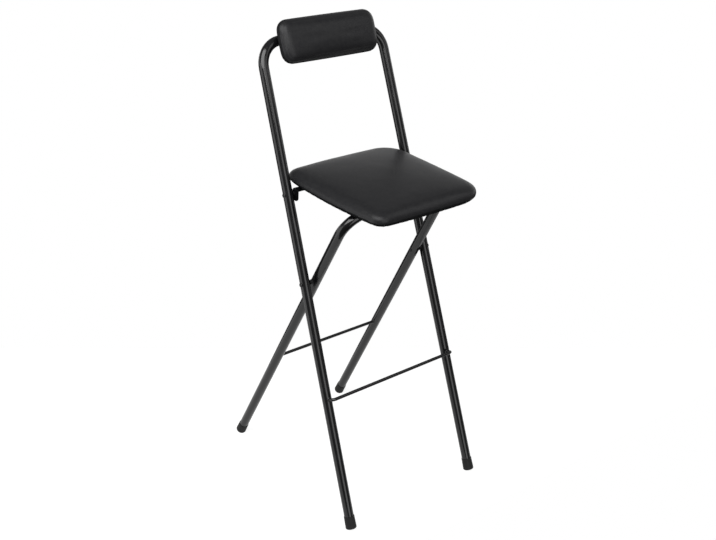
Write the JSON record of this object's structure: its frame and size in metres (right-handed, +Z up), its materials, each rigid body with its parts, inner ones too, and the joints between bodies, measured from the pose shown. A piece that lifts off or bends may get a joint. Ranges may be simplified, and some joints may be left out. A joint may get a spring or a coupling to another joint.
{
  "type": "folding bar stool",
  "caption": "Tall folding stool with a padded seat and a small back pad on two crossed tube frames, with a footrest rod and rubber feet.",
  "frame": {"origin": "on the floor under the middle of the open stool", "axes": "+Z up, +X to the sitter's left, -Y towards the front edge of the seat"},
  "size_m": [0.392, 0.5415, 1.0816],
  "materials": {
    "black_powder_coat": "gloss black powder coat",
    "hinge_steel": "black oxide, satin",
    "rubber": "matte",
    "leatherette": "fine grain, soft sheen",
    "foam": "open cell",
    "plywood": "raw",
    "lining": "non-woven felt",
    "screw_steel": "zinc plated",
    "nylon": "moulded"
  },
  "bodies": {
    "front_frame": {"front_frame_tube": "black_powder_coat", "footrest_bar": "black_powder_coat", "front_foot_left": "rubber", "front_foot_right": "rubber", "main_pivot_rivet_left": "hinge_steel", "main_pivot_rivet_right": "hinge_steel", "main_pivot_spacer_left": "hinge_steel", "main_pivot_spacer_right": "hinge_steel", "seat_pivot_rivet_left": "hinge_steel", "seat_pivot_rivet_right": "hinge_steel", "seat_pivot_washer_left": "hinge_steel", "seat_pivot_washer_right": "hinge_steel", "back_pad_board": "plywood", "back_pad_foam": "foam", "back_pad_cover": "leatherette", "back_pad_lining": "lining", "back_pad_screws": "screw_steel"},
    "rear_frame": {"rear_frame_tube": "black_powder_coat", "rear_stretcher": "black_powder_coat", "rear_foot_left": "rubber", "rear_foot_right": "rubber"},
    "seat": {"seat_board": "plywood", "seat_foam": "foam", "seat_cover": "leatherette", "seat_lining": "lining", "seat_bracket": "black_powder_coat", "seat_saddle_left": "nylon", "seat_saddle_right": "nylon", "seat_bracket_screws": "screw_steel", "seat_saddle_screws": "screw_steel"}
  },
  "joints": [
    {"name": "rear_frame_fold", "type": "hinge", "parent": "front_frame", "child": "rear_frame", "pos_m": [0, -0.0532, 0.539], "axis": [-1, 0, 0], "range_deg": [0, 47]},
    {"name": "seat_fold", "type": "hinge", "parent": "front_frame", "child": "seat", "pos_m": [0, 0.00847, 0.727], "axis": [-1, 0, 0], "range_deg": [0, 94]}
  ],
  "couplings": [
    {"joint": "seat_fold", "follows": "rear_frame_fold", "ratio": 2}
  ]
}
